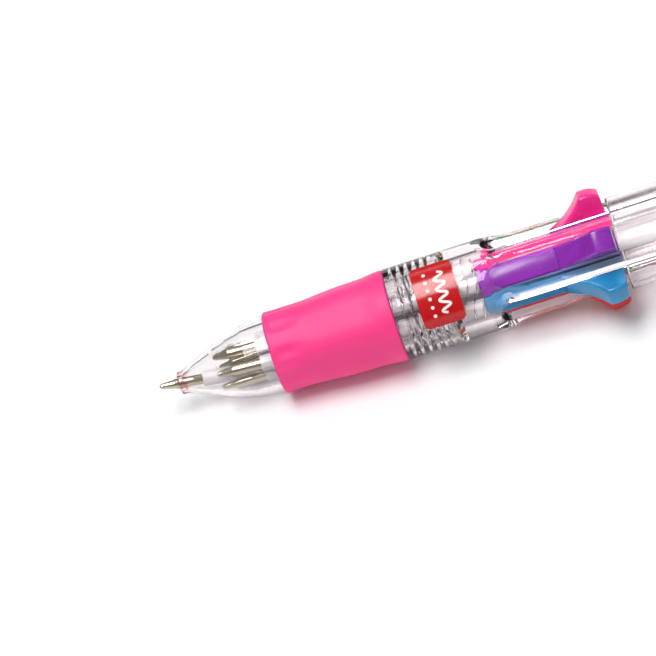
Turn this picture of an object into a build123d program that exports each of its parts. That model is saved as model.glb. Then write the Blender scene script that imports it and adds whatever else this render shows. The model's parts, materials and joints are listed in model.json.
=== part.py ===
from build123d import *
import os
from math import cos, radians, sin, tan

# A six-colour click pen, lying with its axis along X and its point towards -X.
# Millimetres. A place on the pen is given as (station, radius, turn):
# station runs along the pen axis from the mouth of the nose towards the rear,
# radius is the distance from the pen axis, and turn is the angle about it from +Z towards -Y.

# ---------------------------------------------------------------- placing
NIB_OUT = -3.26  # station of a nib's tip, slider forward
PLUG_END = 100.4  # rear end of the pen
MID_STATION = (NIB_OUT + PLUG_END) / 2  # station that sits over the row's origin
AXIS_HEIGHT = 9.07  # height of the pen axis above the table: it rests on two thumb tabs

# ---------------------------------------------------------------- colours
FACE_STEP = 60.0  # six slots, one for each colour
FACE_TURNS = {
    "pink": -30.0,
    "purple": 30.0,
    "blue": 90.0,
    "red": 150.0,
    "orange": 210.0,
    "green": 270.0,
}
OUT_COLOUR = "orange"  # the refill that is out
STROKE = 9.5  # travel of a thumb slider

# ---------------------------------------------------------------- nose and grip
MOUTH_FRONT = -0.2
MOUTH_R = 1.0
MOUTH_END = 0.7
NOSE_BEAD_R = 1.8
NOSE_STEP_START = 5.9  # low step where the slim front meets the round of the nose
NOSE_STEP_START_R = 4.0
NOSE_STEP_END = 6.6
NOSE_STEP_END_R = 4.38
NOSE_ROUND = ((8.7, 5.08), (11.3, 5.72))  # points on the round of the nose
NOSE_HOLLOW = ((11.3, 4.68), (8.7, 4.1))  # and on its hollow
SEAT_START = 15.2  # grip seat
SEAT_END = 34.9
SEAT_R = 5.7
FLANGE_R = 6.15  # rim in front of the grip
NOSE_BORE_R = 4.9
NOSE_WALL = 0.98  # at the step
SHOULDER_STATION = 29.0  # shoulder that the guide disc sits on
NECK_BORE_R = 5.2
NECK_COLLAR_R = 6.2
NECK_COLLAR_END = 36.3
NECK_ROOT_R = 5.75
NECK_END = 43.1
THREAD_START = 37.0
THREAD_PITCH = 1.24
THREAD_TURNS = 4.5
THREAD_DEPTH = 0.42
THREAD_BASE = 0.8
THREAD_CREST = 0.25
GRIP_GAP = 0.05  # all round, between the rubber and its seat

# ---------------------------------------------------------------- upper barrel
BARREL_START = 35.0
BARREL_R = 7.25
BARREL_THREAD_BORE_R = 6.28
BARREL_THREAD_END = 43.5
BARREL_BORE_START = 44.5
BARREL_BORE_R = 5.15
BARREL_ROUND_END = 50.5  # where the round part starts to slim down
BARREL_END = 79.0
CREST_R = 6.6  # ribs between the slots, at the rear
FLAT_R = 6.25  # flats that the slots are cut in
RUNOUT_R = 7.0  # hollow ramp from the round part to a flat
SLOT_WIDTH = 4.0
SLOT_START = 50.3

# ---------------------------------------------------------------- label
LABEL_START = 38.9
LABEL_END = 45.4
LABEL_HALF_TURN = 40.5
LABEL_TURN = 28.0
LABEL_GLUE = 0.02
LABEL_THICK = 0.08
LABEL_CORNER_R = 0.9

# ---------------------------------------------------------------- sliders
SLIDER_FRONT = 48.6  # with the slider back
SLIDER_END = 70.2
SLIDER_TOP_R = 4.95
SLIDER_BODY_R = 4.3
RIB_WIDTH = 3.0  # flat-topped rib along the slider, seen through its slot
RIB_TOP = 4.7
RIB_SETBACK = 1.25  # from the slider's front to the rib's round end
RIB_FOOT_R = 3.4
SLIDER_HEAD_R = 1.7  # inner radius of the head, which runs on the core
SLIDER_TAIL_R = 2.75  # inner radius behind the head, clear of the latch collar
SLIDER_HEAD_LENGTH = 6.0
SLIDER_SIDE_GAP = 0.13  # from a slider's side to the plane between two slots
TAB_START = 61.0
TAB_FOOT_R = 3.8
TAB_CREST = 66.6
TAB_R = 9.55
TAB_WIDTH = 3.6
TAB_EDGE_R = 0.5
PEG_R = 0.65  # peg that carries the refill
PEG_LENGTH = 1.5

# ---------------------------------------------------------------- refills
REFILL_R = 1.2
REFILL_BORE_R = 0.85
REFILL_END_GAP = 0.2  # from the tube's end to the slider's head
REFILL_REAR_RING = 3.55  # radius of the ring of refills at the sliders
REFILL_NOSE_STATION = 13.0
REFILL_NOSE_RING = 2.7  # and in the nose
REFILL_NOSE_TWIST = -34.0  # how far the ring is twisted there
NIB_BACK = 6.28  # station of a nib's tip, slider back
NIB_LENGTH = 7.0
NIB_R = 0.825
NIB_CONE = 2.4
NIB_TIP_R = 0.42
NIB_SHANK_R = 0.8
NIB_SHANK = 2.5  # pushed into the tube
BALL_R = 0.35
BALL_PLAY = 0.02
HOLE_STATION = 0.25  # where the refill that is out crosses the pen axis
OUT_LEAN = 10.3  # its lean there
OUT_BEND_START = 14.5
OUT_BEND_END = 28.6

# ---------------------------------------------------------------- springs and guide
GUIDE_START = 29.02
GUIDE_THICK = 1.48
GUIDE_R = 5.15
GUIDE_HOLE_R = 1.34
GUIDE_VENT_R = 1.2
SPRING_R = 1.34
SPRING_WIRE_R = 0.11
SPRING_TURNS = 12.25
SPRING_END_GAP = 0.25

# ---------------------------------------------------------------- core, cap, plug
CORE_R = 1.6
CORE_START = 44.0
CORE_POINT = 1.2
LATCH_START = 54.9
LATCH_END = 56.6
LATCH_R = 2.6
CORE_FLANGE_R = 6.55
CORE_FLANGE_THICK = 1.5
CAP_START = 70.4
CAP_R = 7.25
CAP_SOCKET_R = 6.66
CAP_BORE_R = 5.4
CAP_END = 97.0
CAP_RIM_R = 0.3
PLUG_FIT = 0.04
PLUG_DEPTH = 5.0
PLUG_FLANGE_R = 6.7

# ---------------------------------------------------------------- clip
CLIP_TURN = 240.0  # on the rib between two slots
CLIP_WIDTH = 2.6
CLIP_TIP = 55.0
CLIP_TAIL = 94.4
CLIP_TOP_R = 10.1
CLIP_THICK = 1.3
CLIP_BEAD_STATION = 57.2
CLIP_BEAD_R = 1.25
PIVOT_STATION = 87.8
PIVOT_RADIUS = 8.55
PIN_R = 0.6
PIN_FIT = 0.05
EAR_R = 1.2
EAR_THICK = 0.8
EAR_GAP = 0.1


def place(station, radius=0.0, turn=0.0):
    """Point of the row at a station, radius and turn."""
    a = radians(turn)
    return Vector(station - MID_STATION, -radius * sin(a), AXIS_HEIGHT + radius * cos(a))


def cross_plane(station, turn=0.0):
    """Plane square to the pen axis: local Y points outwards at the turn."""
    a = radians(turn)
    return Plane(origin=place(station), x_dir=(0, cos(a), sin(a)), z_dir=(1, 0, 0))


def side_plane(turn=0.0):
    """Plane through the pen axis: local X is the station and local Y the radius."""
    a = radians(turn)
    return Plane(origin=place(0), x_dir=(1, 0, 0), z_dir=(0, -cos(a), -sin(a)))


def face_plane(station, radius, turn):
    """Plane square to the radius at the turn: local X runs along the pen."""
    a = radians(turn)
    return Plane(origin=place(station, radius, turn), x_dir=(1, 0, 0), z_dir=(0, -sin(a), cos(a)))


PEN_AXIS = Axis(place(0), (1, 0, 0))


# ---------------------------------------------------------------- where the refills run
def ring_point(station, colour):
    """Point of a drawn-back refill's centre line."""
    turn = FACE_TURNS[colour]
    rear = place(SLIDER_FRONT - REFILL_END_GAP, REFILL_REAR_RING, turn)
    nose = place(REFILL_NOSE_STATION, REFILL_NOSE_RING, turn + REFILL_NOSE_TWIST)
    run = nose - rear
    return rear + run * ((station - MID_STATION - rear.X) / run.X)


def out_line(station):
    """Point on the straight front length of the refill that is out."""
    rise = (station - HOLE_STATION) * tan(radians(OUT_LEAN))
    return place(station, rise, FACE_TURNS[OUT_COLOUR] + REFILL_NOSE_TWIST)


def out_rear_line(station):
    """Point on its straight rear length, from the guide's hole to the slider."""
    guide = ring_point(GUIDE_START + GUIDE_THICK / 2, OUT_COLOUR)
    rear = place(SLIDER_FRONT - STROKE - REFILL_END_GAP, REFILL_REAR_RING, FACE_TURNS[OUT_COLOUR])
    run = rear - guide
    return guide + run * ((station - MID_STATION - guide.X) / run.X)


def tip_and_heading(colour):
    """A nib's tip, and the direction from it to the rear."""
    if colour == OUT_COLOUR:
        tip, behind = out_line(NIB_OUT), out_line(HOLE_STATION)
    else:
        tip, behind = ring_point(NIB_BACK, colour), ring_point(REFILL_NOSE_STATION, colour)
    return tip, (behind - tip).normalized()


# ---------------------------------------------------------------- outer pieces
def make_nose_section():
    """Clear nose, grip seat and threaded neck, in one moulding."""
    with BuildPart() as nose_section:
        with BuildSketch(side_plane()):
            with BuildLine():
                bead_back = (MOUTH_FRONT + 0.8, NOSE_BEAD_R)
                Line((MOUTH_END, MOUTH_R), (MOUTH_FRONT, MOUTH_R))
                Line((MOUTH_FRONT, MOUTH_R), (MOUTH_FRONT, NOSE_BEAD_R - 0.35))
                ThreePointArc(
                    (MOUTH_FRONT, NOSE_BEAD_R - 0.35),
                    (MOUTH_FRONT + 0.12, NOSE_BEAD_R - 0.08),
                    (MOUTH_FRONT + 0.4, NOSE_BEAD_R),
                )
                Line((MOUTH_FRONT + 0.4, NOSE_BEAD_R), bead_back)
                Line(bead_back, (NOSE_STEP_START, NOSE_STEP_START_R))
                Line((NOSE_STEP_START, NOSE_STEP_START_R), (NOSE_STEP_END, NOSE_STEP_END_R))
                flange_front = (SEAT_START - 0.8, FLANGE_R - 0.02)
                Spline((NOSE_STEP_END, NOSE_STEP_END_R), *NOSE_ROUND, flange_front)
                Line(flange_front, (SEAT_START, FLANGE_R))
                Polyline(
                    (SEAT_START, FLANGE_R),
                    (SEAT_START, SEAT_R),
                    (SEAT_END, SEAT_R),
                    (SEAT_END, NECK_COLLAR_R),
                    (NECK_COLLAR_END, NECK_COLLAR_R),
                    (NECK_COLLAR_END, NECK_ROOT_R),
                    (NECK_END, NECK_ROOT_R),
                    (NECK_END, NECK_BORE_R),
                    (SHOULDER_STATION, NECK_BORE_R),
                    (SHOULDER_STATION, NOSE_BORE_R),
                    (SEAT_START, NOSE_BORE_R),
                    *NOSE_HOLLOW,
                    (NOSE_STEP_END, NOSE_STEP_END_R - NOSE_WALL),
                    (NOSE_STEP_START, NOSE_STEP_START_R - NOSE_WALL),
                    (2.4, 1.8),
                    (MOUTH_END, MOUTH_R),
                )
            make_face()
        revolve(axis=PEN_AXIS)
        with BuildLine() as thread_path:
            Helix(
                pitch=THREAD_PITCH,
                height=THREAD_PITCH * THREAD_TURNS,
                radius=NECK_ROOT_R,
                center=place(THREAD_START),
                direction=(1, 0, 0),
            )
        start = thread_path.line @ 0
        outwards = (start - place(THREAD_START)).normalized()
        with BuildSketch(Plane(origin=start, x_dir=outwards, z_dir=thread_path.line % 0)):
            with BuildLine():
                Polyline(
                    (-0.1, -THREAD_BASE / 2),
                    (THREAD_DEPTH, -THREAD_CREST / 2),
                    (THREAD_DEPTH, THREAD_CREST / 2),
                    (-0.1, THREAD_BASE / 2),
                    close=True,
                )
            make_face()
        sweep(path=thread_path.line, is_frenet=True)
    return nose_section


def make_rubber_grip():
    """Soft sleeve, slim at the front and swelling towards the barrel."""
    start = SEAT_START + GRIP_GAP
    end = SEAT_END - GRIP_GAP
    with BuildPart() as rubber_grip:
        with BuildSketch(side_plane()):
            with BuildLine():
                Line((start, SEAT_R + GRIP_GAP), (start, 6.2))
                ThreePointArc((start, 6.2), (start + 0.12, 6.42), (start + 0.4, 6.5))
                Spline((start + 0.4, 6.5), (20.6, 6.54), (26.0, 6.98), (29.9, 7.08), (end - 0.3, 7.2))
                ThreePointArc((end - 0.3, 7.2), (end - 0.09, 7.1), (end, 6.9))
                Polyline((end, 6.9), (end, SEAT_R + GRIP_GAP), (start, SEAT_R + GRIP_GAP))
            make_face()
        revolve(axis=PEN_AXIS)
    return rubber_grip


def make_upper_barrel():
    """Clear barrel: round in front, then six flats with a slot in each."""
    with BuildPart() as upper_barrel:
        with BuildSketch(side_plane()):
            with BuildLine():
                Line((BARREL_START, BARREL_THREAD_BORE_R), (BARREL_START, BARREL_R))
                Line((BARREL_START, BARREL_R), (BARREL_ROUND_END, BARREL_R))
                Spline(
                    (BARREL_ROUND_END, BARREL_R),
                    (53.5, 6.84),
                    (57.0, 6.66),
                    tangents=[(1, 0), (1, -0.02)],
                )
                Polyline(
                    (57.0, 6.66),
                    (64.0, CREST_R),
                    (BARREL_END, CREST_R),
                    (BARREL_END, BARREL_BORE_R),
                    (BARREL_BORE_START, BARREL_BORE_R),
                    (BARREL_THREAD_END, BARREL_THREAD_BORE_R),
                    (BARREL_START, BARREL_THREAD_BORE_R),
                )
            make_face()
        revolve(axis=PEN_AXIS)
        ramp_rise = BARREL_R + 0.5 - FLAT_R
        ramp_run = (RUNOUT_R**2 - (RUNOUT_R - ramp_rise) ** 2) ** 0.5
        ramp_turn = radians(15)
        flat_start = SLOT_START + 2.3
        for turn in FACE_TURNS.values():
            with BuildSketch(side_plane(turn)):
                with BuildLine():
                    ThreePointArc(
                        (flat_start - ramp_run, FLAT_R + ramp_rise),
                        (
                            flat_start - RUNOUT_R * sin(ramp_turn),
                            FLAT_R + RUNOUT_R * (1 - cos(ramp_turn)),
                        ),
                        (flat_start, FLAT_R),
                    )
                    Polyline(
                        (flat_start, FLAT_R),
                        (BARREL_END + 1, FLAT_R),
                        (BARREL_END + 1, FLAT_R + ramp_rise),
                        (flat_start - ramp_run, FLAT_R + ramp_rise),
                    )
                make_face()
            extrude(amount=BARREL_R, both=True, mode=Mode.SUBTRACT)
            length = BARREL_END + 1 - SLOT_START - SLOT_WIDTH / 2
            with BuildSketch(face_plane(SLOT_START + SLOT_WIDTH / 2, SLIDER_TAIL_R, turn)):
                Circle(SLOT_WIDTH / 2)
                with Locations((length / 2, 0)):
                    Rectangle(length, SLOT_WIDTH)
            extrude(amount=BARREL_R, mode=Mode.SUBTRACT)
    return upper_barrel


def make_label():
    """Thin printed patch round the barrel."""
    inner = BARREL_R + LABEL_GLUE
    with BuildPart() as label:
        with BuildSketch(side_plane(LABEL_TURN)):
            with Locations(((LABEL_START + LABEL_END) / 2, inner + LABEL_THICK / 2)):
                Rectangle(LABEL_END - LABEL_START, LABEL_THICK)
        revolve(axis=PEN_AXIS, revolution_arc=LABEL_HALF_TURN)
        with BuildSketch(side_plane(LABEL_TURN)):
            with Locations(((LABEL_START + LABEL_END) / 2, inner + LABEL_THICK / 2)):
                Rectangle(LABEL_END - LABEL_START, LABEL_THICK)
        revolve(axis=PEN_AXIS, revolution_arc=-LABEL_HALF_TURN)
        corners = [e for e in label.edges() if abs(e.length - LABEL_THICK) < 0.01]
        fillet(corners, radius=LABEL_CORNER_R)
    return label


# ---------------------------------------------------------------- inner pieces
def make_guide_disc():
    """Disc in the neck that guides the refills and seats the springs."""
    with BuildPart() as guide_disc:
        with BuildSketch(cross_plane(GUIDE_START)):
            Circle(GUIDE_R)
            Circle(GUIDE_VENT_R, mode=Mode.SUBTRACT)
        extrude(amount=GUIDE_THICK)
        for colour in FACE_TURNS:
            centre = ring_point(GUIDE_START + GUIDE_THICK / 2, colour)
            with BuildSketch(Plane(origin=centre, x_dir=(0, 1, 0), z_dir=(1, 0, 0))):
                Circle(GUIDE_HOLE_R)
            extrude(amount=GUIDE_THICK, both=True, mode=Mode.SUBTRACT)
    return guide_disc


def make_selector_core():
    """Centre rod that the sliders run on, with its latch collar and rear flange."""
    flange_start = BARREL_END + 0.05
    with BuildPart() as selector_core:
        with BuildSketch(side_plane()):
            with BuildLine():
                Polyline(
                    (CORE_START, 0),
                    (CORE_START, CORE_R / 3),
                    (CORE_START + CORE_POINT, CORE_R),
                    (LATCH_START, CORE_R),
                    (LATCH_START, LATCH_R),
                    (LATCH_END, LATCH_R),
                    (LATCH_END + 1, CORE_R),
                    (flange_start, CORE_R),
                    (flange_start, CORE_FLANGE_R),
                    (flange_start + CORE_FLANGE_THICK, CORE_FLANGE_R),
                    (flange_start + CORE_FLANGE_THICK, 0),
                    close=True,
                )
            make_face()
        revolve(axis=PEN_AXIS)
    return selector_core


def make_rear_cap():
    """Cap that closes the slots and carries the clip between two ears."""
    socket_end = BARREL_END + 0.1 + CORE_FLANGE_THICK
    with BuildPart() as rear_cap:
        with BuildSketch(side_plane()):
            with BuildLine():
                Polyline(
                    (CAP_START, CAP_SOCKET_R),
                    (CAP_START, CAP_R),
                    (CAP_END, CAP_R),
                    (CAP_END, CAP_BORE_R),
                    (socket_end, CAP_BORE_R),
                    (socket_end, CAP_SOCKET_R),
                    close=True,
                )
            make_face()
        revolve(axis=PEN_AXIS)
        rims = rear_cap.edges().filter_by(GeomType.CIRCLE)
        fillet([e for e in rims if abs(e.radius - CAP_R) < 0.01], radius=CAP_RIM_R)
        ear_centre = CLIP_WIDTH / 2 + EAR_GAP + EAR_THICK / 2
        for side in (-1, 1):
            ear_plane = side_plane(CLIP_TURN).offset(side * ear_centre)
            with BuildSketch(ear_plane):
                with Locations((PIVOT_STATION, PIVOT_RADIUS)):
                    Circle(EAR_R)
                with BuildLine():
                    Polyline(
                        (PIVOT_STATION - EAR_R, PIVOT_RADIUS),
                        (PIVOT_STATION + EAR_R, PIVOT_RADIUS),
                        (PIVOT_STATION + EAR_R + 0.8, CAP_BORE_R + 1),
                        (PIVOT_STATION - EAR_R - 0.8, CAP_BORE_R + 1),
                        close=True,
                    )
                make_face()
                with Locations((PIVOT_STATION, PIVOT_RADIUS)):
                    Circle(PIN_R, mode=Mode.SUBTRACT)
            extrude(amount=EAR_THICK / 2, both=True)
    return rear_cap


def make_end_plug():
    """Domed stopper in the rear of the cap."""
    with BuildPart() as end_plug:
        with BuildSketch(side_plane()):
            with BuildLine():
                Polyline(
                    (CAP_END - PLUG_DEPTH, 0),
                    (CAP_END - PLUG_DEPTH, CAP_BORE_R - PLUG_FIT),
                    (CAP_END + PLUG_FIT, CAP_BORE_R - PLUG_FIT),
                    (CAP_END + PLUG_FIT, PLUG_FLANGE_R),
                    (CAP_END + 0.8, PLUG_FLANGE_R),
                )
                ThreePointArc((CAP_END + 0.8, PLUG_FLANGE_R), (CAP_END + 2.1, 6.0), (PLUG_END - 0.5, 4.4))
                Line((PLUG_END - 0.5, 4.4), (PLUG_END, 3.2))
                Polyline((PLUG_END, 3.2), (PLUG_END, 0), (CAP_END - PLUG_DEPTH, 0))
            make_face()
        revolve(axis=PEN_AXIS)
    return end_plug


def make_clip():
    """Pocket clip: a long arm on a pivot, with a bead near its tip and a thumb tail."""
    under = CLIP_TOP_R - CLIP_THICK
    with BuildPart() as clip:
        with BuildSketch(side_plane(CLIP_TURN)):
            with BuildLine():
                Polyline(
                    (CLIP_TIP, CLIP_TOP_R - 0.5),
                    (CLIP_TIP + 1.2, CLIP_TOP_R),
                    (PIVOT_STATION + 1.0, CLIP_TOP_R + 0.1),
                    (CLIP_TAIL, CLIP_TOP_R + 0.1),
                    (CLIP_TAIL, under + 0.5),
                    (PIVOT_STATION + 1.5, under - 0.1),
                    (CLIP_BEAD_STATION + 2, under),
                    (CLIP_TIP, under + 0.2),
                    close=True,
                )
            make_face()
            with Locations((PIVOT_STATION, PIVOT_RADIUS)):
                Circle(EAR_R)
            bead_centre = CREST_R + 0.25 + CLIP_BEAD_R
            with Locations((CLIP_BEAD_STATION, bead_centre)):
                Circle(CLIP_BEAD_R)
            with Locations((CLIP_BEAD_STATION, (bead_centre + under + 0.3) / 2)):
                Rectangle(2 * CLIP_BEAD_R, under + 0.3 - bead_centre)
            with Locations((PIVOT_STATION, PIVOT_RADIUS)):
                Circle(PIN_R + PIN_FIT, mode=Mode.SUBTRACT)
        extrude(amount=CLIP_WIDTH / 2, both=True)
    return clip


def make_clip_pin():
    """Round pin through the ears and the clip."""
    half = CLIP_WIDTH / 2 + EAR_GAP + EAR_THICK
    with BuildPart() as clip_pin:
        with BuildSketch(side_plane(CLIP_TURN)):
            with Locations((PIVOT_STATION, PIVOT_RADIUS)):
                Circle(PIN_R)
        extrude(amount=half, both=True)
    return clip_pin


# ---------------------------------------------------------------- one set for each colour
def make_slider(colour):
    """Thumb slider: a wedge in the bore, a peg for the refill and a tab through the slot."""
    turn = FACE_TURNS[colour]
    shift = -STROKE if colour == OUT_COLOUR else 0.0
    front = SLIDER_FRONT + shift
    apex = SLIDER_SIDE_GAP / sin(radians(FACE_STEP / 2))
    reach = 2 * SLIDER_TOP_R
    spread = reach * tan(radians(FACE_STEP / 2))
    with BuildPart() as slider:
        with BuildSketch(cross_plane(front, turn)):
            Circle(SLIDER_BODY_R)
            Circle(SLIDER_HEAD_R, mode=Mode.SUBTRACT)
            with BuildLine():
                Polyline((0, apex), (spread, apex + reach), (-spread, apex + reach), close=True)
            make_face(mode=Mode.INTERSECT)
        extrude(amount=SLIDER_END - SLIDER_FRONT)
        with BuildSketch(cross_plane(front + SLIDER_HEAD_LENGTH, turn)):
            Circle(SLIDER_TAIL_R)
        extrude(amount=SLIDER_END - SLIDER_FRONT, mode=Mode.SUBTRACT)
        rib_length = SLIDER_END - SLIDER_FRONT - RIB_SETBACK - RIB_WIDTH / 2
        with BuildSketch(face_plane(front + RIB_SETBACK + RIB_WIDTH / 2, RIB_FOOT_R, turn)):
            Circle(RIB_WIDTH / 2)
            with Locations((rib_length / 2, 0)):
                Rectangle(rib_length, RIB_WIDTH)
        extrude(amount=RIB_TOP - RIB_FOOT_R)
        with BuildSketch(side_plane(turn)):
            with BuildLine():
                foot = (TAB_START + shift - 0.35, TAB_FOOT_R)
                rise = (TAB_START + shift, SLIDER_TOP_R + 0.15)
                crest = (TAB_CREST + shift, TAB_R)
                Line(foot, rise)
                ThreePointArc(rise, (TAB_START + shift + 2.9, SLIDER_TOP_R + 1.75), crest)
                ThreePointArc(
                    crest,
                    (TAB_CREST + shift + 1.7, TAB_R + 0.02),
                    (SLIDER_END + shift - 0.5, TAB_R - 0.5),
                )
                Polyline(
                    (SLIDER_END + shift - 0.5, TAB_R - 0.5),
                    (SLIDER_END + shift - 0.1, TAB_FOOT_R),
                    foot,
                )
            make_face()
        extrude(amount=TAB_WIDTH / 2, both=True)
        tab_edges = [
            e
            for e in slider.edges()
            if place_radius(e @ 0.5, turn) > FLAT_R + 0.4 and e.length > 1
        ]
        fillet(tab_edges, radius=TAB_EDGE_R)
        peg_centre = place(front, REFILL_REAR_RING, turn)
        with BuildSketch(Plane(origin=peg_centre, x_dir=(0, 1, 0), z_dir=(-1, 0, 0))):
            Circle(PEG_R)
        extrude(amount=PEG_LENGTH)
    return slider


def place_radius(point, turn):
    """How far a point reaches outwards at a turn."""
    a = radians(turn)
    return -point.Y * sin(a) + (point.Z - AXIS_HEIGHT) * cos(a)


def make_refill(colour):
    """Ink tube: straight when drawn back, and bent to the mouth when out."""
    tip, heading = tip_and_heading(colour)
    with BuildPart() as refill:
        with BuildLine() as run:
            front = tip + heading * NIB_LENGTH
            if colour == OUT_COLOUR:
                bend_start = out_line(OUT_BEND_START)
                bend_end = out_rear_line(OUT_BEND_END)
                rear = out_rear_line(SLIDER_FRONT - STROKE - REFILL_END_GAP)
                Line(front, bend_start)
                Spline(bend_start, bend_end, tangents=[heading, (rear - bend_end).normalized()])
                Line(bend_end, rear)
            else:
                Line(front, ring_point(SLIDER_FRONT - REFILL_END_GAP, colour))
        with BuildSketch(Plane(origin=front, z_dir=heading)):
            Circle(REFILL_R)
            Circle(REFILL_BORE_R, mode=Mode.SUBTRACT)
        sweep(path=run.line)
    return refill


def make_nib(colour):
    """Metal point: a cone with a ball socket, a sleeve and a shank in the tube."""
    tip, heading = tip_and_heading(colour)
    across = Plane(origin=tip, z_dir=heading).x_dir
    socket = BALL_R + BALL_PLAY
    with BuildPart() as nib:
        with BuildSketch(Plane(origin=tip, x_dir=heading, z_dir=across)):
            with BuildLine():
                Polyline(
                    (BALL_R, 0),
                    (BALL_R, NIB_TIP_R),
                    (NIB_CONE, NIB_R - 0.12),
                    (NIB_CONE + 0.15, NIB_R),
                    (NIB_LENGTH - 0.05, NIB_R),
                    (NIB_LENGTH - 0.05, NIB_SHANK_R),
                    (NIB_LENGTH + NIB_SHANK, NIB_SHANK_R),
                    (NIB_LENGTH + NIB_SHANK, 0),
                    close=True,
                )
            make_face()
            with Locations((BALL_R, 0)):
                Circle(socket, mode=Mode.SUBTRACT)
        revolve(axis=Axis(tip, heading))
    return nib


def make_ball(colour):
    """Writing ball."""
    tip, heading = tip_and_heading(colour)
    with BuildPart() as ball:
        with Locations(tip + heading * BALL_R):
            Sphere(BALL_R)
    return ball


def make_spring(colour):
    """Return spring round the refill, from the guide disc to the slider."""
    first = GUIDE_START + GUIDE_THICK + SPRING_END_GAP
    if colour == OUT_COLOUR:
        start = out_rear_line(first)
        end = out_rear_line(SLIDER_FRONT - STROKE - SPRING_END_GAP)
    else:
        start = ring_point(first, colour)
        end = ring_point(SLIDER_FRONT - SPRING_END_GAP, colour)
    length = (end - start).length
    with BuildPart() as spring:
        with BuildLine() as coil:
            Helix(
                pitch=length / SPRING_TURNS,
                height=length,
                radius=SPRING_R,
                center=start,
                direction=(end - start).normalized(),
            )
        with BuildSketch(Plane(origin=coil.line @ 0, z_dir=coil.line % 0)):
            Circle(SPRING_WIRE_R)
        sweep(path=coil.line, is_frenet=True)
    return spring


def save(piece, name):
    """Name a finished piece and write its STEP file."""
    piece.part.label = name
    export_step(piece.part, f"parts/{name}.step")


os.makedirs("parts", exist_ok=True)

save(make_nose_section(), "nose_section")
save(make_rubber_grip(), "rubber_grip")
save(make_upper_barrel(), "upper_barrel")
save(make_label(), "label")
save(make_guide_disc(), "guide_disc")
save(make_selector_core(), "selector_core")
save(make_rear_cap(), "rear_cap")
save(make_end_plug(), "end_plug")
save(make_clip(), "clip")
save(make_clip_pin(), "clip_pin")

for colour in FACE_TURNS:
    save(make_slider(colour), f"slider_{colour}")
    save(make_refill(colour), f"refill_{colour}")
    save(make_nib(colour), f"nib_{colour}")
    save(make_ball(colour), f"ball_{colour}")
    save(make_spring(colour), f"spring_{colour}")
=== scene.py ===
import json
import math

import bmesh
import bpy
from mathutils import Matrix, Vector


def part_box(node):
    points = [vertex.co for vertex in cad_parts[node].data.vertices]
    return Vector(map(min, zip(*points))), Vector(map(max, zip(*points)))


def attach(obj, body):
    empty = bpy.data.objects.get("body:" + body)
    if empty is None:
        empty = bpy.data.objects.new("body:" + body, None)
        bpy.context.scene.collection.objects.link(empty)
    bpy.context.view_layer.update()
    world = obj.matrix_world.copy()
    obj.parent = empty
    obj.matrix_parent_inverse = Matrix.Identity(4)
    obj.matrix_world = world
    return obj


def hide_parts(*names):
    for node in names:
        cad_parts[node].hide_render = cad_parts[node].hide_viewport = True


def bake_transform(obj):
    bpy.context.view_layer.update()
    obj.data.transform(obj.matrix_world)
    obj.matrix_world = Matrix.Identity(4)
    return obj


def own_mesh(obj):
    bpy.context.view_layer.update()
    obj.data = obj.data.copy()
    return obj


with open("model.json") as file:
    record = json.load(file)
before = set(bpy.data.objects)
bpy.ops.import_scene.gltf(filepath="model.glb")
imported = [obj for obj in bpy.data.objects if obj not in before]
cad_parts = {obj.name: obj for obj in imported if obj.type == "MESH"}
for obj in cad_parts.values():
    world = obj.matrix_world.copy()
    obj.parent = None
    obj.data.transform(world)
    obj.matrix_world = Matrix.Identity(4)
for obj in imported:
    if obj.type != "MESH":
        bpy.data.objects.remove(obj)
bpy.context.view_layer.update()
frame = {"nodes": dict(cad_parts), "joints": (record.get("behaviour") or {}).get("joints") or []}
NODES = frame["nodes"]
MM = 0.001

# ---------------------------------------------------------------- places, worked out from the frame
COLOURS = [n[len("slider_"):] for n in sorted(NODES) if n.startswith("slider_")]
OUT_COLOUR = next(
    j["name"][: -len("_slide")]
    for j in frame["joints"]
    if j["type"] == "slide" and j["axis"][0] > 0
)
BARREL_LO, BARREL_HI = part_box("upper_barrel")
AXIS_Y = (BARREL_LO.y + BARREL_HI.y) / 2
AXIS_Z = (BARREL_LO.z + BARREL_HI.z) / 2
MOUTH_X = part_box("nose_section")[0].x
GRIP_LO, GRIP_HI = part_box("rubber_grip")
LABEL_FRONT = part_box("label")[0].x

VIEW_TURN = 38.0  # the camera's turn about the pen, from +Z towards -Y
VIEW_REAR = 5.0  # and how far it is swung towards the rear
VIEW_TILT = 17.7  # slope of the pen in the picture
FIELD = 100.6 * MM  # width of the picture at the pen
LENS = 160.0
SENSOR = 36.0
AIM_STATION = 24.5 * MM  # from the mouth to the middle of the picture
AIM_RISE = 1.2 * MM


def pen_radius(p):
    """How far a point is from the pen's axis."""
    return math.hypot(p.y - AXIS_Y, p.z - AXIS_Z)


def on_pen(x, radius, turn):
    """Point at a place along the pen, a radius from its axis and a turn from +Z towards -Y."""
    a = math.radians(turn)
    return Vector((x, AXIS_Y - radius * math.sin(a), AXIS_Z + radius * math.cos(a)))


# ---------------------------------------------------------------- materials
FINE_RELIEF = 0.02 * MM  # depth of grain, dust and flow waves
METAL_RELIEF = 0.01 * MM
THREAD_PITCH = 1.24 * MM
RIB_DEPTH = 0.1 * MM
RIB_BORE_R = 6.6 * MM
BLUSH_FADE = 0.5 * MM
THROUGH_CLEAR = (0.86, 0.84, 0.85)  # what clear plastic leaves of a lamp's light


def material(name, colour, roughness, **sockets):
    """A Principled material. Returns it with its tree and shader."""
    mat = bpy.data.materials.new(name)
    mat.use_nodes = True
    tree = mat.node_tree
    shader = tree.nodes["Principled BSDF"]
    shader.inputs["Base Color"].default_value = (*colour, 1.0)
    shader.inputs["Roughness"].default_value = roughness
    for key, value in sockets.items():
        shader.inputs[key.replace("_", " ")].default_value = value
    return mat, tree, shader


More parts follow.
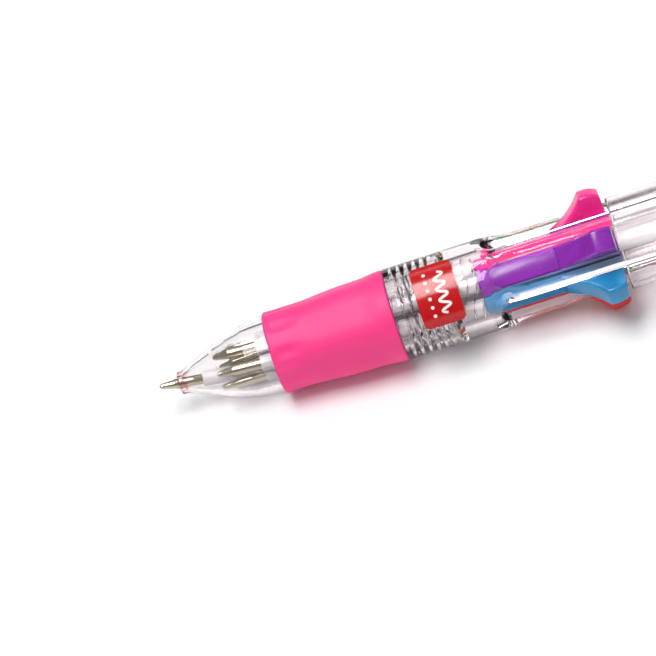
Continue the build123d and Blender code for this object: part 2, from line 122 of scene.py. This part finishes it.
def noise(tree, scale, detail, rough=0.5, stretch=(1, 1, 1)):
    """Noise in object space, whose texture can be stretched along the pen."""
    place = tree.nodes.new("ShaderNodeTexCoord")
    mapping = tree.nodes.new("ShaderNodeMapping")
    mapping.inputs["Scale"].default_value = stretch
    texture = tree.nodes.new("ShaderNodeTexNoise")
    texture.inputs["Scale"].default_value = scale
    texture.inputs["Detail"].default_value = detail
    texture.inputs["Roughness"].default_value = rough
    tree.links.new(place.outputs["Object"], mapping.inputs["Vector"])
    tree.links.new(mapping.outputs["Vector"], texture.inputs["Vector"])
    return texture.outputs["Fac"]


def colour_by(tree, shader, value, low, high, span=(0.35, 0.65)):
    """Base colour runs from low to high as a value goes over its span."""
    ramp = tree.nodes.new("ShaderNodeValToRGB")
    ramp.color_ramp.elements[0].position = span[0]
    ramp.color_ramp.elements[1].position = span[1]
    ramp.color_ramp.elements[0].color = (*low, 1)
    ramp.color_ramp.elements[1].color = (*high, 1)
    tree.links.new(value, ramp.inputs["Fac"])
    tree.links.new(ramp.outputs["Color"], shader.inputs["Base Color"])


def roughness_by(tree, shader, value, low, high):
    """Roughness runs from low to high with a value."""
    spread = tree.nodes.new("ShaderNodeMapRange")
    spread.inputs["From Min"].default_value = 0.3
    spread.inputs["From Max"].default_value = 0.7
    spread.inputs["To Min"].default_value = low
    spread.inputs["To Max"].default_value = high
    tree.links.new(value, spread.inputs["Value"])
    tree.links.new(spread.outputs["Result"], shader.inputs["Roughness"])


def bump_by(tree, shader, value, strength, distance):
    """Bump from a value, with its depth in metres."""
    bump = tree.nodes.new("ShaderNodeBump")
    bump.inputs["Strength"].default_value = strength
    bump.inputs["Distance"].default_value = distance
    tree.links.new(value, bump.inputs["Height"])
    tree.links.new(bump.outputs["Normal"], shader.inputs["Normal"])


def darker(colour, by):
    return tuple(c * by for c in colour)


def math_node(tree, operation, a, b=None):
    """One Math node, whose inputs are numbers or sockets."""
    node = tree.nodes.new("ShaderNodeMath")
    node.operation = operation
    for socket, value in zip(node.inputs, (a, b)):
        if isinstance(value, (int, float)):
            socket.default_value = value
        elif value is not None:
            tree.links.new(value, socket)
    return node.outputs["Value"]


def pen_coordinates(tree):
    """Sockets for the place along the pen and the radius from its axis, in metres."""
    place = tree.nodes.new("ShaderNodeTexCoord")
    split = tree.nodes.new("ShaderNodeSeparateXYZ")
    tree.links.new(place.outputs["Object"], split.inputs["Vector"])
    y = math_node(tree, "SUBTRACT", split.outputs["Y"], AXIS_Y)
    z = math_node(tree, "SUBTRACT", split.outputs["Z"], AXIS_Z)
    y_square = math_node(tree, "MULTIPLY", y, y)
    z_square = math_node(tree, "MULTIPLY", z, z)
    square = math_node(tree, "ADD", y_square, z_square)
    return split.outputs["X"], math_node(tree, "SQRT", square)


def between(tree, value, low, high):
    """1 where a value lies between two numbers, else 0."""
    above = math_node(tree, "GREATER_THAN", value, low)
    below = math_node(tree, "LESS_THAN", value, high)
    return math_node(tree, "MULTIPLY", above, below)


def let_lamps_through(mat, colour):
    """Lamps reach what is behind the plastic, dimmed by a colour."""
    tree = mat.node_tree
    rays = tree.nodes.new("ShaderNodeLightPath")
    open_side = tree.nodes.new("ShaderNodeBsdfTransparent")
    open_side.inputs["Color"].default_value = (*colour, 1)
    mix = tree.nodes.new("ShaderNodeMixShader")
    tree.links.new(rays.outputs["Is Shadow Ray"], mix.inputs["Fac"])
    tree.links.new(tree.nodes["Principled BSDF"].outputs["BSDF"], mix.inputs[1])
    tree.links.new(open_side.outputs["BSDF"], mix.inputs[2])
    tree.links.new(mix.outputs["Shader"], tree.nodes["Material Output"].inputs["Surface"])


def clear_plastic(name, tint, rough, blush=None, ribs=None):
    """Clear moulded plastic with faint flow waves and a few rubbed places.

    blush is (place along the pen, colour there), for a tint that fades in ahead of that place.
    ribs is (start, end), for screw ribs moulded on the bore between those places.
    """
    mat, tree, shader = material(name, tint, rough, IOR=1.47)
    shader.inputs["Transmission Weight"].default_value = 1.0
    cloud = noise(tree, 150, 1.0, 0.5)
    colour_by(tree, shader, cloud, darker(tint, 0.985), tint)
    x, radius = pen_coordinates(tree)
    if blush:
        edge, colour = blush
        fade = tree.nodes.new("ShaderNodeMapRange")
        fade.interpolation_type = "SMOOTHSTEP"
        fade.inputs["From Min"].default_value = edge
        fade.inputs["From Max"].default_value = edge - BLUSH_FADE
        tree.links.new(x, fade.inputs["Value"])
        mix = tree.nodes.new("ShaderNodeMix")
        mix.data_type = "RGBA"
        link = shader.inputs["Base Color"].links[0]
        tree.links.new(fade.outputs["Result"], mix.inputs["Factor"])
        tree.links.new(link.from_socket, mix.inputs["A"])
        mix.inputs["B"].default_value = (*colour, 1)
        tree.links.new(mix.outputs["Result"], shader.inputs["Base Color"])
    height = math_node(tree, "MULTIPLY", noise(tree, 260, 1.0, 0.4, (0.4, 1, 1)), 0.1)
    depth = FINE_RELIEF
    if ribs:
        depth = RIB_DEPTH
        wave = math_node(tree, "SINE", math_node(tree, "MULTIPLY", x, 2 * math.pi / THREAD_PITCH))
        wave = math_node(tree, "MULTIPLY", math_node(tree, "ADD", wave, 1.0), 0.5)
        on_bore = math_node(tree, "LESS_THAN", radius, RIB_BORE_R)
        where = math_node(tree, "MULTIPLY", between(tree, x, *ribs), on_bore)
        rib = math_node(tree, "MULTIPLY", wave, where)
        height = math_node(tree, "ADD", rib, math_node(tree, "MULTIPLY", height, 0.1))
    bump_by(tree, shader, height, 1.0, depth)
    rubbed = noise(tree, 900, 4.0, 0.6)
    roughness_by(tree, shader, rubbed, rough * 0.5, rough * 2.2)
    let_lamps_through(mat, THROUGH_CLEAR)
    return mat


def gloss_plastic(name, colour, rough=0.22):
    """Coloured moulded plastic: slightly cloudy colour, fine grain, a little light inside."""
    mat, tree, shader = material(name, colour, rough, IOR=1.5)
    shader.inputs["Subsurface Weight"].default_value = 0.25
    shader.inputs["Subsurface Radius"].default_value = (0.0012, 0.0009, 0.0012)
    shader.inputs["Subsurface Scale"].default_value = 1.0
    cloud = noise(tree, 420, 2.0, 0.5, (0.3, 1, 1))
    lighter = tuple(min(1, c * 1.08 + 0.004) for c in colour)
    colour_by(tree, shader, cloud, darker(colour, 0.88), lighter)
    grain = noise(tree, 2600, 3.0, 0.6)
    roughness_by(tree, shader, grain, rough * 0.75, rough * 1.3)
    bump_by(tree, shader, grain, 0.08, FINE_RELIEF)
    return mat


def label_film(name, colour):
    """Printed film: even colour with fine light specks where the print is thin."""
    mat, tree, shader = material(name, colour, 0.16, IOR=1.45)
    specks = noise(tree, 3200, 2.0, 0.7)
    colour_by(tree, shader, specks, colour, (0.8, 0.12, 0.12), (0.66, 0.76))
    grain = noise(tree, 1500, 3.0, 0.6)
    roughness_by(tree, shader, grain, 0.13, 0.2)
    bump_by(tree, shader, grain, 0.15, FINE_RELIEF)
    return mat


def soft_rubber(name, colour):
    """Matte silicone-like rubber with a powdery surface."""
    mat, tree, shader = material(name, colour, 0.5, IOR=1.42)
    shader.inputs["Subsurface Weight"].default_value = 0.35
    shader.inputs["Subsurface Radius"].default_value = (0.0016, 0.0006, 0.001)
    shader.inputs["Subsurface Scale"].default_value = 1.0
    shader.inputs["Sheen Weight"].default_value = 0.05
    shader.inputs["Sheen Roughness"].default_value = 0.4
    shader.inputs["Sheen Tint"].default_value = (1.0, 0.8, 0.9, 1)
    cloud = noise(tree, 240, 3.0, 0.55, (0.6, 1, 1))
    colour_by(tree, shader, cloud, darker(colour, 0.93), colour)
    dust = noise(tree, 5200, 4.0, 0.7)
    roughness_by(tree, shader, dust, 0.42, 0.6)
    bump_by(tree, shader, dust, 0.18, FINE_RELIEF)
    return mat


def metal(name, colour, rough, scale=1800, stretch=(0.05, 1, 1)):
    """Turned or drawn metal with fine marks."""
    mat, tree, shader = material(name, colour, rough, Metallic=1.0)
    marks = noise(tree, scale, 3.0, 0.6, stretch)
    colour_by(tree, shader, marks, darker(colour, 0.8), colour)
    roughness_by(tree, shader, marks, rough * 0.7, rough * 1.5)
    bump_by(tree, shader, marks, 0.1, METAL_RELIEF)
    return mat


def tube_plastic(name):
    """Milky translucent tubing."""
    mat, tree, shader = material(name, (0.93, 0.9, 0.9), 0.3, IOR=1.45)
    shader.inputs["Transmission Weight"].default_value = 0.45
    shader.inputs["Subsurface Weight"].default_value = 0.5
    shader.inputs["Subsurface Radius"].default_value = (0.001, 0.0009, 0.0009)
    shader.inputs["Subsurface Scale"].default_value = 1.0
    drawn = noise(tree, 700, 2.0, 0.5, (0.04, 1, 1))
    colour_by(tree, shader, drawn, (0.86, 0.82, 0.83), (0.97, 0.94, 0.94))
    roughness_by(tree, shader, drawn, 0.22, 0.38)
    bump_by(tree, shader, drawn, 0.1, FINE_RELIEF)
    return mat


MOUTH_BLUSH = (MOUTH_X + 1.6 * MM, (0.93, 0.72, 0.74))
BORE_RIBS = (BARREL_LO.x + 0.8 * MM, BARREL_LO.x + 7.7 * MM)
CLEAR_NOSE = clear_plastic("clear_nose_plastic", (0.975, 0.962, 0.966), 0.015, blush=MOUTH_BLUSH)
CLEAR = clear_plastic("clear_barrel_plastic", (0.985, 0.94, 0.955), 0.015, ribs=BORE_RIBS)
CLEAR_CAP = clear_plastic("clear_cap_plastic", (0.98, 0.955, 0.965), 0.03)
PINK_RUBBER = soft_rubber("pink_rubber", (0.95, 0.045, 0.25))
RED_FILM = label_film("red_label_film", (0.48, 0.0, 0.002))
WHITE_INK = gloss_plastic("white_print", (0.92, 0.9, 0.9), 0.3)
WHITE = gloss_plastic("white_plastic", (0.86, 0.86, 0.85), 0.3)
PLUG_PINK = gloss_plastic("pink_plastic", (0.9, 0.04, 0.28), 0.2)
SLIDER_COLOUR = {
    "pink": (0.9, 0.01, 0.25),
    "purple": (0.23, 0.014, 0.36),
    "blue": (0.01, 0.24, 0.5),
    "green": (0.01, 0.4, 0.1),
    "orange": (0.95, 0.24, 0.01),
    "red": (0.7, 0.008, 0.012),
}
TUBE = tube_plastic("refill_tube_plastic")
NIB_METAL = metal("nickel_silver", (0.5, 0.44, 0.34), 0.14)
BALL_METAL = metal("ball_carbide", (0.55, 0.55, 0.56), 0.12, 4000, (1, 1, 1))
SPRING_STEEL = metal("spring_steel", (0.72, 0.72, 0.74), 0.22)


def paint(node, mat):
    """Gives a CAD node its material."""
    mesh = NODES[node].data
    mesh.materials.clear()
    mesh.materials.append(mat)


# ---------------------------------------------------------------- carried-over CAD nodes
paint("nose_section", CLEAR_NOSE)
paint("rear_cap", CLEAR_CAP)
paint("clip", CLEAR_CAP)
paint("label", RED_FILM)
paint("guide_disc", WHITE)
paint("selector_core", WHITE)
paint("end_plug", PLUG_PINK)
paint("clip_pin", SPRING_STEEL)
for colour in COLOURS:
    if colour != OUT_COLOUR:
        paint(f"refill_{colour}", TUBE)
    paint(f"nib_{colour}", NIB_METAL)
    paint(f"ball_{colour}", BALL_METAL)


# ---------------------------------------------------------------- new pieces
MERGE = 0.002 * MM  # points closer than this are one
FLAT_ANGLE = 0.6  # degrees below which neighbouring CAD faces are one
EDGE = 0.12 * MM  # radius of the moulded edges


def piece(name, points, faces, mat, body):
    """A mesh piece riding on a body, or on none yet."""
    mesh = bpy.data.meshes.new(name)
    mesh.from_pydata([tuple(p) for p in points], [], faces)
    mesh.validate()
    for polygon in mesh.polygons:
        polygon.use_smooth = True
    mesh.materials.append(mat)
    made = bpy.data.objects.new(name, mesh)
    bpy.context.scene.collection.objects.link(made)
    if body:
        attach(made, body)
    return made


def cad_copy(node):
    """An editable copy of a CAD node's mesh, with its doubled points merged."""
    mesh = bmesh.new()
    mesh.from_mesh(NODES[node].data)
    bmesh.ops.remove_doubles(mesh, verts=mesh.verts, dist=MERGE)
    return mesh


def taken_out(mesh):
    """The points and faces of an edited copy, which is freed."""
    mesh.verts.index_update()
    points = [v.co.copy() for v in mesh.verts]
    faces = [[v.index for v in f.verts] for f in mesh.faces]
    mesh.free()
    return points, faces


def rounded(node, name, mat, body, inner=0.0, sharp=30.0):
    """The shape of a CAD node with its moulded edges slightly rounded, in place of that node.

    Edges nearer the pen's axis than inner stay sharp.
    """
    mesh = cad_copy(node)
    flat = math.radians(FLAT_ANGLE)
    bmesh.ops.dissolve_limit(mesh, angle_limit=flat, verts=mesh.verts, edges=mesh.edges)
    edges = [
        e
        for e in mesh.edges
        if len(e.link_faces) == 2
        and e.calc_face_angle(0.0) > math.radians(sharp)
        and min(pen_radius(v.co) for v in e.verts) > inner
    ]
    bmesh.ops.bevel(
        mesh,
        geom=edges,
        offset=EDGE,
        offset_type="OFFSET",
        segments=2,
        profile=0.5,
        affect="EDGES",
        clamp_overlap=True,
    )
    points, faces = taken_out(mesh)
    made = piece(name, points, faces, mat, body)
    made.data.set_sharp_from_angle(angle=math.radians(sharp + 8))
    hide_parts(node)


def smooth_step(x, low, high):
    """0 before low and 1 after high, with a soft rise between them."""
    t = min(1.0, max(0.0, (x - low) / (high - low)))
    return t * t * (3 - 2 * t)


BARREL_BORE_SIDE = 5.4 * MM  # the barrel's edges inside this radius stay sharp
rounded("upper_barrel", "barrel_shell", CLEAR, "barrel", inner=BARREL_BORE_SIDE)
for colour in COLOURS:
    plastic = gloss_plastic(f"{colour}_slider_plastic", SLIDER_COLOUR[colour])
    node = f"slider_{colour}"
    rounded(node, f"thumb_slider_{colour}", plastic, node, sharp=40.0)


# The rubber grip: the CAD sleeve's outline with its moulded lobes and front dimples.
GRIP_SEAT_R = 5.75 * MM
LOBES = 6
LOBE_CREST = VIEW_TURN + 10.0
LOBE_DEPTH = 0.36 * MM
LOBE_FLATNESS = 0.08
DIMPLES = 9
DIMPLE_TURN = VIEW_TURN + 3.0
DIMPLE_DEPTH = 0.24 * MM
DIMPLE_REACH = 0.3  # half a dimple's width, as a share of their spacing
GRIP_AROUND = 360  # points round the sleeve
GRIP_ALONG = 110  # steps along it, between its rounded ends


def grip_outline():
    """(x, radius) along the outside of the CAD sleeve, front to rear."""
    rows = {}
    for v in NODES["rubber_grip"].data.vertices:
        key = round(v.co.x, 6)
        rows[key] = max(rows.get(key, 0.0), pen_radius(v.co))
    return sorted((x, r) for x, r in rows.items() if r > GRIP_SEAT_R + 0.3 * MM)


def outline_radius(outline, x):
    """The sleeve's radius at a place along the pen."""
    for (x0, r0), (x1, r1) in zip(outline, outline[1:]):
        if x <= x1:
            return r0 + (r1 - r0) * max(0.0, x - x0) / max(x1 - x0, 1e-9)
    return outline[-1][1]


def lobe(turn):
    """0 on a crest and 1 in a valley, with nearly flat sides."""
    phase = ((turn - LOBE_CREST) / (360.0 / LOBES)) % 1.0
    rise = 1 - abs(2 * phase - 1)
    return rise - LOBE_FLATNESS * math.sin(2 * math.pi * rise)


def dimple(turn):
    """1 in the middle of a front dimple and 0 between them."""
    phase = ((turn - DIMPLE_TURN) / (360.0 / DIMPLES)) % 1.0
    off = min(phase, 1 - phase)
    return (1 - (off / DIMPLE_REACH) ** 2) ** 2 if off < DIMPLE_REACH else 0.0


def make_grip():
    outline = grip_outline()
    start, end = GRIP_LO.x, GRIP_HI.x
    length = end - start
    around = GRIP_AROUND
    ends = [x for x, r in outline if x < start + 0.45 * MM or x > end - 0.35 * MM]
    first, run = start + 0.5 * MM, length - 0.9 * MM
    middle = [first + run * k / GRIP_ALONG for k in range(GRIP_ALONG + 1)]
    stations = sorted(ends + middle)
    points, faces = [], []
    for x in stations:
        along = x - start
        lobes = LOBE_DEPTH * smooth_step(along, 3.0 * MM, 8.0 * MM)
        lobes *= 1 - smooth_step(along, length - 4.5 * MM, length - 1.2 * MM)
        dimples = DIMPLE_DEPTH * smooth_step(along, 0.2 * MM, 1.2 * MM)
        dimples *= 1 - smooth_step(along, 2.6 * MM, 6.0 * MM)
        base = outline_radius(outline, x)
        for k in range(around):
            turn = 360.0 * k / around
            radius = base - lobes * lobe(turn) - dimples * dimple(turn)
            points.append(on_pen(x, radius, turn))
    for x in (end, start):
        for k in range(around):
            points.append(on_pen(x, GRIP_SEAT_R, 360.0 * k / around))
    rings = len(points) // around
    for ring in range(rings):
        after = (ring + 1) % rings
        for k in range(around):
            n = (k + 1) % around
            here, there = ring * around, after * around
            faces.append((here + k, here + n, there + n, there + k))
    made = piece("rubber_grip_skin", points, faces, PINK_RUBBER, "barrel")
    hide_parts("rubber_grip")


make_grip()


# The springs: round wire wound on each CAD spring's own line.
WIRE_R = 0.11 * MM
COIL_R = 1.34 * MM
COIL_TURNS = 12.25
WIRE_SIDES = 10
STEPS_PER_TURN = 36


def spring_line(colour):
    """Both ends of a CAD spring's centre line."""
    verts = [v.co for v in NODES[f"spring_{colour}"].data.vertices]
    low, high = min(v.x for v in verts), max(v.x for v in verts)
    reach = (high - low) / COIL_TURNS

    def centre(band):
        n = len(band)
        return Vector([sum(v[i] for v in band) / n for i in range(3)])

    a = centre([v for v in verts if low + 0.5 * reach <= v.x < low + 1.5 * reach])
    b = centre([v for v in verts if high - 1.5 * reach < v.x <= high - 0.5 * reach])
    run = (b - a) / (b.x - a.x)
    return a + run * (low + WIRE_R - a.x), a + run * (high - WIRE_R - a.x)


def make_spring(colour):
    """A coil of round wire on a CAD spring's line, fixed to the barrel, or on no body for the
    refill that is out.
    """
    start, end = spring_line(colour)
    heading = (end - start).normalized()
    side = heading.cross(Vector((0, 0, 1))).normalized()
    up = side.cross(heading)
    steps = int(COIL_TURNS * STEPS_PER_TURN)
    points, faces = [], []
    for i in range(steps + 1):
        t = i / steps
        a = 2 * math.pi * COIL_TURNS * t
        out = side * math.cos(a) + up * math.sin(a)
        round_it = up * math.cos(a) - side * math.sin(a)
        centre = start + (end - start) * t + out * COIL_R
        forward = round_it * (2 * math.pi * COIL_TURNS * COIL_R) + (end - start)
        forward.normalize()
        across = forward.cross(out).normalized()
        for k in range(WIRE_SIDES):
            b = 2 * math.pi * k / WIRE_SIDES
            points.append(centre + (out * math.cos(b) + across * math.sin(b)) * WIRE_R)
    for i in range(steps):
        for k in range(WIRE_SIDES):
            n = (k + 1) % WIRE_SIDES
            base = i * WIRE_SIDES
            after = base + WIRE_SIDES
            faces.append((base + k, base + n, after + n, after + k))
    faces.append(tuple(range(WIRE_SIDES - 1, -1, -1)))
    faces.append(tuple(steps * WIRE_SIDES + k for k in range(WIRE_SIDES)))
    bends = colour == OUT_COLOUR
    body = None if bends else "barrel"
    made = piece(f"coil_{colour}", points, faces, SPRING_STEEL, body)
    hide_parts(f"spring_{colour}")
    if bends:
        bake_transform(made)
    else:
        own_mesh(made)


for colour in COLOURS:
    make_spring(colour)


# The bent ink tube of the refill that is out, cut into rings along the CAD tube.
TUBE_RING_STEP = 0.8 * MM
SHARP_TUBE = 38  # degrees
CUT_SNAP = 1e-7  # metres


def make_bent_tube(colour):
    """The CAD tube cut into short rings, in place of that node, on no body."""
    node = f"refill_{colour}"
    low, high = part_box(node)
    mesh = cad_copy(node)
    for k in range(1, int((high.x - low.x) / TUBE_RING_STEP)):
        everything = list(mesh.verts) + list(mesh.edges) + list(mesh.faces)
        here = Vector((low.x + k * TUBE_RING_STEP, 0, 0))
        bmesh.ops.bisect_plane(
            mesh, geom=everything, dist=CUT_SNAP, plane_co=here, plane_no=(1, 0, 0)
        )
    points, faces = taken_out(mesh)
    made = piece(f"ink_tube_{colour}", points, faces, TUBE, None)
    made.data.set_sharp_from_angle(angle=math.radians(SHARP_TUBE))
    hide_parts(node)
    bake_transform(made)


make_bent_tube(OUT_COLOUR)


# The label's print: a wavy white line and a row of dots, which say nothing.
LABEL_TURN = 28.0
PRINT_SPAN = 26.0  # half the print's width, in degrees round the pen
PRINT_LIFT = 0.012 * MM
PRINT_R = max(pen_radius(v.co) for v in NODES["label"].data.vertices) + PRINT_LIFT
WAVE_PLACE = 4.1 * MM  # from the label's front
WAVE_SWING = 0.75 * MM
WAVE_WIDTH = 0.4 * MM
WAVES = 4
DOTS = 6
DOT_START = 1.75 * MM  # from the label's front
DOT_END = 2.3 * MM
DOT_HALF_TURN = 2.2


def print_mark(name, x0, x1, turn0, turn1):
    """A white mark on the label, rounded at its ends, from x0 to x1 and turn0 to turn1."""
    mid_x, mid_t = (x0 + x1) / 2, (turn0 + turn1) / 2
    half_x, half_t = (x1 - x0) / 2, (turn1 - turn0) / 2
    radius = PRINT_R
    half_arc = math.radians(half_t) * radius
    round_off = min(half_x, half_arc)
    points = [on_pen(mid_x, radius, mid_t)]
    for sx, st, first in ((1, 1, 0), (-1, 1, 90), (-1, -1, 180), (1, -1, 270)):
        for step in range(9):
            a = math.radians(first + 90 * step / 8)
            dx = sx * (half_x - round_off) + round_off * math.cos(a)
            dt = st * (half_arc - round_off) + round_off * math.sin(a)
            points.append(on_pen(mid_x + dx, radius, mid_t + math.degrees(dt / radius)))
    n = len(points) - 1
    faces = [(0, 1 + k, 1 + (k + 1) % n) for k in range(n)]
    piece(name, points, faces, WHITE_INK, "barrel")


def print_wave(name, x, turn0, turn1):
    """A wavy white line of even width that runs round the label."""
    radius = PRINT_R
    steps = 24 * WAVES
    reach = math.radians(turn1 - turn0) * radius
    points, faces = [], []
    for i in range(steps + 1):
        t = i / steps
        phase = 2 * math.pi * WAVES * t
        here = Vector((WAVE_SWING * math.sin(phase), reach * t))
        slope = Vector((WAVE_SWING * 2 * math.pi * WAVES * math.cos(phase), reach)).normalized()
        across = Vector((slope.y, -slope.x)) * WAVE_WIDTH / 2
        for side in (here - across, here + across):
            points.append(on_pen(x + side.x, radius, turn0 + math.degrees(side.y / radius)))
    for i in range(steps):
        faces.append((2 * i, 2 * i + 1, 2 * i + 3, 2 * i + 2))
    piece(name, points, faces, WHITE_INK, "barrel")


print_wave("label_wave", LABEL_FRONT + WAVE_PLACE, LABEL_TURN - PRINT_SPAN, LABEL_TURN + PRINT_SPAN)
for k in range(DOTS):
    turn = LABEL_TURN + PRINT_SPAN * (2 * k / (DOTS - 1) - 1)
    dot_start, dot_end = LABEL_FRONT + DOT_START, LABEL_FRONT + DOT_END
    print_mark(f"label_dot_{k}", dot_start, dot_end, turn - DOT_HALF_TURN, turn + DOT_HALF_TURN)


# ---------------------------------------------------------------- floor, light and camera
FLOOR_HALF = 1.2  # metres
FLOOR_GAP = 0.02 * MM  # under the tabs


def lowest(points):
    """The lowest of some points."""
    return min(points, key=lambda p: p.z)


def make_floor():
    """A pale floor under the pen, tilted so that the grip and two thumb tabs rest on it."""
    rubber = [v.co for v in NODES["rubber_grip"].data.vertices]
    drop = lowest([p for p in rubber if p.x < GRIP_LO.x + 1.0 * MM]).z
    front = Vector((GRIP_LO.x + 0.4 * MM, AXIS_Y, drop))
    sliders = [[v.co for v in NODES[f"slider_{c}"].data.vertices] for c in COLOURS]
    tabs = sorted((lowest(points).copy() for points in sliders), key=lambda p: p.z)[:2]
    normal = (tabs[0] - front).cross(tabs[1] - front).normalized()
    if normal.z < 0:
        normal = -normal
    mesh = bpy.data.meshes.new("floor")
    signs = ((-1, -1), (1, -1), (1, 1), (-1, 1))
    corners = [(sx * FLOOR_HALF, sy * FLOOR_HALF, 0) for sx, sy in signs]
    mesh.from_pydata(corners, [], [(0, 1, 2, 3)])
    floor = bpy.data.objects.new("floor", mesh)
    bpy.context.scene.collection.objects.link(floor)
    turn = Vector((0, 0, 1)).rotation_difference(normal)
    place = Matrix.Translation(tabs[0] - normal * FLOOR_GAP)
    floor.matrix_world = place @ turn.to_matrix().to_4x4()
    mat, tree, shader = material("floor_white", (0.9, 0.9, 0.9), 0.7)
    shader.inputs["Specular IOR Level"].default_value = 0.2
    grain = noise(tree, 30, 2.0)
    colour_by(tree, shader, grain, (0.89, 0.89, 0.89), (0.91, 0.91, 0.91))
    mesh.materials.append(mat)


make_floor()


def add_light(name, place, aim, size, power):
    """A soft white light, rectangular, that faces its aim."""
    data = bpy.data.lights.new(name, "AREA")
    data.shape = "RECTANGLE"
    data.size, data.size_y = size
    data.energy = power
    lamp = bpy.data.objects.new(name, data)
    lamp.location = place
    lamp.rotation_mode = "QUATERNION"
    lamp.rotation_quaternion = (aim - place).to_track_quat("-Z", "Y")
    bpy.context.scene.collection.objects.link(lamp)


def make_world(horizon, zenith):
    """Studio surroundings: dim at the horizon and brighter overhead."""
    world = bpy.data.worlds.new("studio")
    world.use_nodes = True
    tree = world.node_tree
    place = tree.nodes.new("ShaderNodeTexCoord")
    split = tree.nodes.new("ShaderNodeSeparateXYZ")
    ramp = tree.nodes.new("ShaderNodeValToRGB")
    ramp.color_ramp.elements[0].position = 0.05
    ramp.color_ramp.elements[0].color = (*horizon, 1)
    ramp.color_ramp.elements[1].position = 0.95
    ramp.color_ramp.elements[1].color = (*zenith, 1)
    tree.links.new(place.outputs["Generated"], split.inputs["Vector"])
    tree.links.new(split.outputs["Z"], ramp.inputs["Fac"])
    tree.links.new(ramp.outputs["Color"], tree.nodes["Background"].inputs["Color"])
    bpy.context.scene.world = world


make_world((0.17, 0.16, 0.165), (0.5, 0.5, 0.51))
bpy.context.scene.view_settings.view_transform = "Standard"


def place_camera():
    """Long lens at the photograph's angle, with the pen rising to the right."""
    turn, rear = math.radians(VIEW_TURN), math.radians(VIEW_REAR)
    flat = math.cos(rear)
    back = Vector((math.sin(rear), -flat * math.sin(turn), flat * math.cos(turn)))
    along = (Vector((1, 0, 0)) - back * back.x).normalized()
    above = back.cross(along)
    tilt = math.radians(VIEW_TILT)
    right = along * math.cos(tilt) - above * math.sin(tilt)
    up = along * math.sin(tilt) + above * math.cos(tilt)
    aim = on_pen(MOUTH_X + AIM_STATION, 0, 0) + above * AIM_RISE
    data = bpy.data.cameras.new("camera")
    data.lens, data.sensor_width = LENS, SENSOR
    distance = FIELD * LENS / SENSOR
    data.clip_start, data.clip_end = 0.01, 20
    camera = bpy.data.objects.new("camera", data)
    place = aim + back * distance
    camera.matrix_world = Matrix(
        (
            (right.x, up.x, back.x, place.x),
            (right.y, up.y, back.y, place.y),
            (right.z, up.z, back.z, place.z),
            (0, 0, 0, 1),
        )
    )
    bpy.context.scene.collection.objects.link(camera)
    bpy.context.scene.camera = camera
    return aim, right, up, back


AIM, RIGHT, UP, BACK = place_camera()
OVERHEAD = Vector((0, 0, 1))
# Each light: name, place, aim, size in metres, watts.
add_light("key", AIM + OVERHEAD * 0.5 - RIGHT * 0.05, AIM, (0.34, 0.16), 2.3)
add_light("rim", AIM + UP * 0.42 + BACK * 0.1, AIM, (0.5, 0.06), 0.2)
add_light("fill", AIM - UP * 0.34 + BACK * 0.36 + RIGHT * 0.1, AIM, (0.5, 0.1), 0.2)
